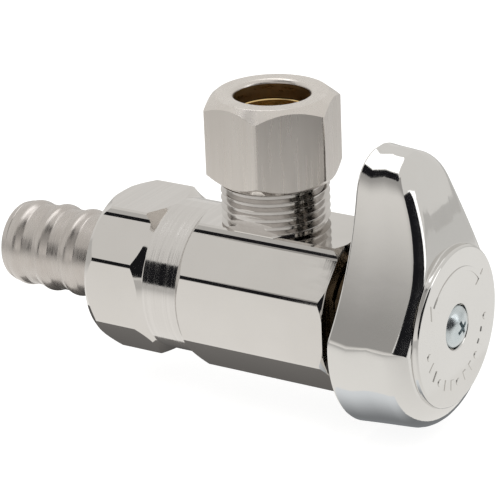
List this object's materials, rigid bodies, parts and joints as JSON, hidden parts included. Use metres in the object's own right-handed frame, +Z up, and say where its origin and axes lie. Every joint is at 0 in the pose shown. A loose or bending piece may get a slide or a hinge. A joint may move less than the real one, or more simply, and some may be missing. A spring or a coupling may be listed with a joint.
{
  "type": "angle stop valve",
  "caption": "Quarter-turn angle stop valve with a barbed inlet, an octagonal body, a drop-shaped lever and a compression outlet.",
  "frame": {"origin": "centre of the pipe stop on the inlet axis, where the end of the supply pipe seats", "axes": "+Y along the inlet barb into the supply pipe, +Z up along the compression outlet, +X to the right seen from the lever; the lever points up (+Z) when the valve is open"},
  "size_m": [0.0284, 0.0687, 0.0418],
  "materials": {
    "body_chrome": "polished chrome plate on turned brass, satin on the barb",
    "handle_chrome": "bright chrome plate on a die casting, with a faint orange peel",
    "nut_chrome": "satin chrome plate with brushed streaks",
    "ball_chrome": "polished chrome plate",
    "brass": "turned brass",
    "sleeve_brass": "fine turned brass",
    "zinc_plate": "bright zinc plate, slightly blue",
    "seat": "white seat plastic",
    "rubber": "smooth black rubber"
  },
  "bodies": {
    "body": {"valve_body": "body_chrome", "inlet_seat": "seat", "outlet_seat": "seat", "front_seat": "seat", "bonnet": "brass", "bonnet_o_ring": "rubber"},
    "lever": {"handle": "handle_chrome", "handle_screw": "zinc_plate", "stem": "brass", "ball": "ball_chrome", "thrust_washer": "seat", "stem_o_ring_inner": "rubber", "stem_o_ring_outer": "rubber"},
    "sleeve": {"compression_sleeve": "sleeve_brass"},
    "nut": {"compression_nut": "nut_chrome"}
  },
  "joints": [
    {"name": "handle_turn", "type": "hinge", "parent": "body", "child": "lever", "pos_m": [0, -0.0241, 0], "axis": [0, 1, 0], "range_deg": [0, 90]},
    {"name": "sleeve_travel", "type": "slide", "parent": "body", "child": "sleeve", "axis": [0, 0, 1], "range_m": [-0.0011, 0.0043]},
    {"name": "nut_turn", "type": "hinge", "parent": "sleeve", "child": "nut", "pos_m": [0, -0.0241, 0], "axis": [0, 0, 1], "range_deg": [-360, 1440]}
  ],
  "couplings": [
    {"joint": "sleeve_travel", "follows": "nut_turn", "m_per_rad": 0.00016844}
  ]
}
